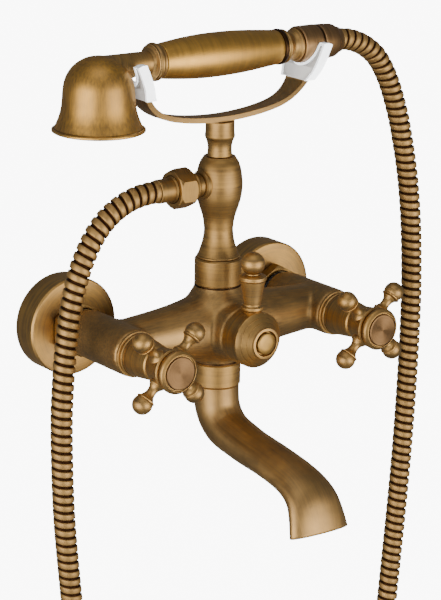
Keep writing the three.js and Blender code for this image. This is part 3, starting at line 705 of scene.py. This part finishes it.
# ---- column and hose outlet --------------------------------------------------------------
def column():
    at = (0, AXIS_Y, 0)
    collar = [(13.6, 26.1), (14.2, 26.6), (14.2, 41.6), (13.4, 42.5)]
    finished(turned("column_ring", collar, at, UP, bore=10.3), MATERIALS["brown"], "body",
             ["column_collar"])
    # A dark ring under the collar: painted shade in the seam between collar and neck.
    shade_ring = [(13.6, 24.9), (14.35, 25.1), (14.35, 25.9), (13.6, 26.05)]
    finished(turned("column_painted_shade_ring", shade_ring, at, UP, bore=10.3, fillet=0.1), MATERIALS["black"],
             "body", [])
    vase = [(12.9, 42.8), (13.0, 43.6),
            *flowing([(12.4, 44.2), (11.2, 47.6), (9.7, 52.6), (8.9, 58), (8.9, 61.5), (9.8, 67.6),
                      (11.6, 73.4), (13.3, 79.4), (14.1, 86), (14.0, 90), (13.1, 96.6), (11.6, 101.2),
                      (10.2, 103.4)], 4), (9.6, 104.6)]
    finished(turned("column_vase", vase, at, UP, bore=7.2), MATERIALS["brown"], "column",
             ["column_body"])
    stem = [(6.6, 97), (6.6, 104.5),
            *flowing([(7.6, 105), (7.25, 108), (7.3, 111), (7.9, 113.8), (8.8, 116), (9.05, 117.2),
                      (8.9, 118.4), (8.7, 120)], 4), (8.7, 125.9)]
    finished(turned("cradle_post", stem, at, UP, segments=64, fillet=0.25), MATERIALS["brown"],
             "column", ["cradle_stem"])


def hose_outlet():
    at = (0, AXIS_Y, OUTLET_Z)
    nipple = [(8.8, 11.4), (8.9, 13.6), (8.1, 14.6), (6.9, 15.0), (6.9, 18.0), (7.9, 18.7), (8.3, 19.6),
              (7.9, 20.5), (7.3, 21.0), (7.3, 21.6), (8.2, 22.4), (8.2, 31)]
    finished(turned("outlet_spigot", nipple, at, -COLD, bore=3.7, segments=64), MATERIALS["brown"],
             "column", ["hose_outlet_nipple"])
    nut = hex_nut("outlet_hexagon", 21.6, 22.7, 35.0, 1.7, 8.5, at, -COLD)
    finished(nut, MATERIALS["brown"], "column", ["hose_nut"])
    ferrule = [(7.9, 33.4), (8.0, 35.2), (7.2, 36.2), (7.2, 45.0), (6.9, 45.9)]
    finished(turned("hose_ferrule", ferrule, at, -COLD, bore=4.5, segments=56), MATERIALS["brown"],
             "column", ["hose_ferrule_outlet"])


# ---- cradle ------------------------------------------------------------------------------
# The band's line as (x, z), and half the outline of prongs and sleeves seen along X as (y, z).
BAND_HALF = [(15, 128.4), (30, 130.2), (43, 133.4), (52.2, 138.8), (58.8, 147), (63.3, 157.4), (68, 168.2)]
BAND_LINE = [(-x, z) for x, z in reversed(BAND_HALF)] + [(0, 127.8)] + BAND_HALF
PRONG_SIDES = [(5.5, 120), (5.6, 129), (6.6, 136), (8.8, 145), (10.4, 149), (13.6, 155), (14.9, 161),
               (15.2, 166.6)]
SLEEVE_SIDES = [(12.2, 145.8), (15.4, 152), (16.7, 158), (17, 168.2)]


def forked_strip(name, thickness, sides, notch, low, high):
    """A strip bent along the band's line, kept where the fork seen along X covers it."""
    line = flowing(BAND_LINE, 6)
    ahead = line[1:] + [line[-1]]
    behind = [line[0]] + line[:-1]
    edges = ([], [])
    for point, a, b in zip(line, behind, ahead):
        along = (Vector(b) - Vector(a)).normalized()
        across = Vector((-along.y, along.x)) * thickness / 2
        edges[0].append(tuple(Vector(point) + across))
        edges[1].insert(0, tuple(Vector(point) - across))
    strip = prism(name, edges[0] + edges[1], -30, 30, lambda u, v, w: (u, w, v))
    right = flowing(sides, 4) + [(notch + 0.9, sides[-1][1])]
    fork = right + arc(0, HANDSET_Z, notch, 0, -180, 28) + [(-y, z) for y, z in reversed(right)]
    cutter = prism(name + "_fork", fork, low, high, lambda u, v, w: (w, u, v))
    return boolean(strip, cutter, "INTERSECT")


def cradle():
    band = bevelled(forked_strip("cradle_strap", BAND_THICKNESS, PRONG_SIDES, 13, -90, 90), 0.5)
    finished(stand(band, (0, AXIS_Y, 0), UP), MATERIALS["sideways"], "column",
             ["cradle_band"])
    lip_sides = [(y - 1.6, z) for y, z in SLEEVE_SIDES[:-1]] + [(15.4, 166.6)]
    for side, (low, high) in {"left": (-90, 0), "right": (0, 90)}.items():
        cover = forked_strip(f"fork_cover_{side}", 6, SLEEVE_SIDES, 11.3, low, high)
        roomy = [(y + 0.3, z) for y, z in PRONG_SIDES[:-1]] + [(15.5, 166.9)]
        boolean(cover, forked_strip("pocket", BAND_THICKNESS + 0.6, roomy, 12.7, -90, 90), "DIFFERENCE")
        faces_cut = forked_strip("faces", 9, lip_sides, 12.8, low, high)
        boolean(faces_cut, forked_strip("middle", 4.6, SLEEVE_SIDES, 11, -95, 95), "DIFFERENCE")
        boolean(cover, faces_cut, "DIFFERENCE")
        bevelled(cover, 0.45)
        # A dark strip inside the channel: the metal band showing through the nylon, with painted shade in
        # the channel.
        channel = forked_strip(f"fork_channel_{side}", 4.8, lip_sides, 12.8, low, high)
        finished(stand(channel, (0, AXIS_Y, 0), UP), MATERIALS["metal_through_nylon_and_shade"], "column", [])
        finished(stand(cover, (0, AXIS_Y, 0), UP), MATERIALS["nylon"], "column",
                 [f"fork_sleeve_{side}"])


# ---- handset -----------------------------------------------------------------------------
def handset():
    at = (0, AXIS_Y, HANDSET_Z)
    head = (BELL_X, AXIS_Y, 0)
    bell = [(22.3, 133.4), (22.6, 130.5), (23.6, 129.9), (26.2, 129.8), (27.1, 130.3), (27.1, 131.3),
            (26.3, 131.9), (25.6, 132.0),
            *flowing([(25.3, 132.5), (24.4, 134.6), (22.9, 138.4), (21.7, 143), (21.1, 148),
                      (20.8, 152.5), (19.9, 158.4), (17.6, 163.8), (13.8, 168.3), (8.2, 171.8),
                      (3.0, 173.2)], 5)]
    outside = turned("handset_bell", bell, head, UP, segments=112, fillet=0.4)
    finished(outside, MATERIALS["along"], "handset", ["handset_head"])
    neck = [*flowing([(17.4, -86.4), (15.4, -82), (12.9, -77.4), (10.6, -73.2), (8.7, -69.4), (7.5, -65.6),
                      (6.95, -61), (6.7, -55)], 5), (6.8, -53),
            (8.0, -51.8), (10.4, -51.0), *arc(9.4, -48.6, 1.9, -60, 60, 8), (10.4, -45.4)]
    rise = turned("handset_neck", neck, at, COLD, segments=64)
    flare_x, slim_radius = -60 * MM, 6.9 * MM
    to_world = rise.matrix_world
    for vertex in rise.data.vertices:
        place = to_world @ vertex.co
        radius = math.hypot(place.y - AXIS_Y * MM, place.z - HANDSET_Z * MM)
        if place.x < flare_x:
            # The flare sinks by what it gains, so its top stays level with the slim part.
            place.z -= max(0.0, radius - slim_radius)
        vertex.co = to_world.inverted() @ place
    finished(rise, MATERIALS["round"], "handset", [])
    barrel = [(9.4, -45.0),
              *flowing([(10.2, -44.6), (10.6, -42), (11.2, -37), (12.3, -26), (13.0, -14), (13.1, -2),
                        (12.8, 10), (12.0, 22), (10.9, 34), (10.4, 39.4)], 4), (10.1, 40.4)]
    finished(turned("handset_grip", barrel, at, COLD, bore=4.7, segments=96), MATERIALS["satin"],
             "handset", ["handset_barrel"])
    ring = [(9.6, 40.6), (10.7, 40.8), (10.9, 42), (10.7, 43.2), (9.6, 43.5)]
    finished(turned("handset_black_ring", ring, at, COLD, bore=4.7, segments=64), MATERIALS["black"],
             "handset", ["handset_end_ring"])
    tail = [(9.7, 43.8), *arc(9.2, 45.5, 1.1, -60, 60, 5),
            *flowing([(9.0, 47.4), (8.1, 49.2), (8.0, 51.0), (8.8, 53.2)], 4), (9.8, 54.2), (9.8, 55.6)]
    finished(turned("handset_end", tail, at, COLD, bore=4.7, segments=64), MATERIALS["round"],
             "handset", ["handset_tail"])
    collar = [(10.4, 56.1), (11.0, 56.5), (11.0, 69.5), (10.5, 70.0), (9.4, 70.0), (9.4, 70.9)]
    finished(turned("swivel_sleeve", collar, at, COLD, bore=8.3, segments=64), MATERIALS["copper"],
             "handset", ["handset_swivel_collar"])
    # A dark ring: painted shade in the groove between the swivel sleeve and the hose's end nut.
    groove = [(9.9, 70.2), (10.35, 70.3), (10.35, 71.5), (9.9, 71.6)]
    finished(turned("swivel_painted_shade_ring", groove, at, COLD, bore=8.3, segments=64, fillet=0.1),
             MATERIALS["black"], "handset", [])
    nut = [(10.3, 71.7), (10.8, 72.0), (10.7, 76), (10.2, 82.2),
           *flowing([(9.9, 83.2), (8.8, 84.8), (7.8, 88.0)], 4)]
    finished(turned("hose_end_sleeve", nut, at, COLD, bore=4.7, segments=64), MATERIALS["copper"],
             "handset", ["hose_end_nut"])
    plate = [(21.4, 130.7), (21.9, 131.1), (21.9, 133)]
    face = turned("spray_face", plate, head, UP, segments=64)
    finished(face, MATERIALS["grey"], "handset", ["spray_plate"])


# ---- spout -------------------------------------------------------------------------------
# Stations of the spout's centre line: y, z, half its width and half its height.
SPOUT = [(-61.5, -37.5, 13.9, 13.9), (-61.7, -44, 13.9, 13.9), (-63, -51.4, 13.9, 13.6),
         (-66.7, -57.8, 13.9, 13.1), (-72.5, -62.6, 13.9, 12.5), (-79.3, -65.1, 13.9, 11.9),
         (-87.5, -66.8, 13.9, 11.4), (-98.5, -68.8, 13.9, 10.9), (-117.5, -71, 14.3, 10.3),
         (-135.5, -74, 15.2, 9.6), (-147.5, -77.6, 16.3, 9), (-155.9, -83, 17.6, 8.6),
         (-160.5, -91, 19.2, 8.2), (-163.9, -101.6, 21, 8)]


def spout():
    """An elliptical tube lofted along its stations, with a rolled lip and a hollow mouth."""
    sides = 56
    stations = flowing(SPOUT, 6)
    mouth = stations[-1]
    proud = (0.5, 1.1)             # insets of the lip's rings that stand past the mouth
    lip = [(mouth, 0.5), (mouth, 1.1), (mouth, 1.8), (stations[-4], 2.2), (stations[-16], 2.4)]
    rings = [(station, 0.0) for station in stations] + lip
    vertices, painted_light = [], []
    for i, ((y, z, half_width, half_height), inset) in enumerate(rings):
        index = stations.index((y, z, half_width, half_height))
        a, b = stations[max(index - 1, 0)], stations[min(index + 1, len(stations) - 1)]
        along = Vector((b[0] - a[0], b[1] - a[1])).normalized()
        past = 0.35 if inset in proud else 0.0
        for k in range(sides):
            angle = 2 * math.pi * k / sides
            up = (half_height - inset) * math.sin(angle)
            vertices.append(((half_width - inset) * math.cos(angle), y + along.x * past - along.y * up,
                             z + along.y * past + along.x * up))
            # The rolled lip's rings get a painted highlight.
            painted_light.append(0.9 if inset in proud else 0.0)
    faces = []
    for low in range(0, (len(rings) - 1) * sides, sides):
        for k in range(sides):
            after = (k + 1) % sides
            faces.append([low + k, low + after, low + sides + after, low + sides + k])
    faces.append(list(range(sides)))
    faces.append([(len(rings) - 1) * sides + k for k in range(sides)])
    tube = new_object("spout_tube", vertices, faces, painted_light)
    finished(tube, MATERIALS["forward"], "spout", ["spout"])
    collar = [(13.9, -37.1), (14.7, -36.5), (14.7, -23.4), (14.2, -22.5)]
    finished(turned("spout_ring", collar, (0, AXIS_Y, 0), UP, bore=10.5), MATERIALS["brown"],
             "body", ["spout_collar"])
    # A dark ring above the spout's collar: painted shade in the seam under the casting.
    shade_ring = [(13.6, -22.3), (14.35, -22.2), (14.35, -21.4), (13.6, -21.2)]
    finished(turned("spout_painted_shade_ring", shade_ring, (0, AXIS_Y, 0), UP, bore=10.5, fillet=0.1), MATERIALS["black"],
             "body", [])


# ---- pieces kept from the CAD ------------------------------------------------------------
def dress_cad_nodes():
    """Gives every CAD node a finish. Those that no piece replaces are inside faucet or wall."""
    kinds = {"cartridge": "hidden", "union": "hidden", "spindle": "steel", "screw": "steel",
             "washer": "rubber", "o_ring": "rubber", "ceramic": "ceramic"}
    for name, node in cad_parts.items():
        kind = next((finish for word, finish in kinds.items() if word in name), "round")
        node.data.materials.clear()
        node.data.materials.append(MATERIALS[kind])


camera()
studio()
hose()
for side, x in INLETS.items():
    wall_connection(side, x)
    valve_handle(side, x)
mixer_body()
diverter()
column()
hose_outlet()
cradle()
handset()
spout()
dress_cad_nodes()
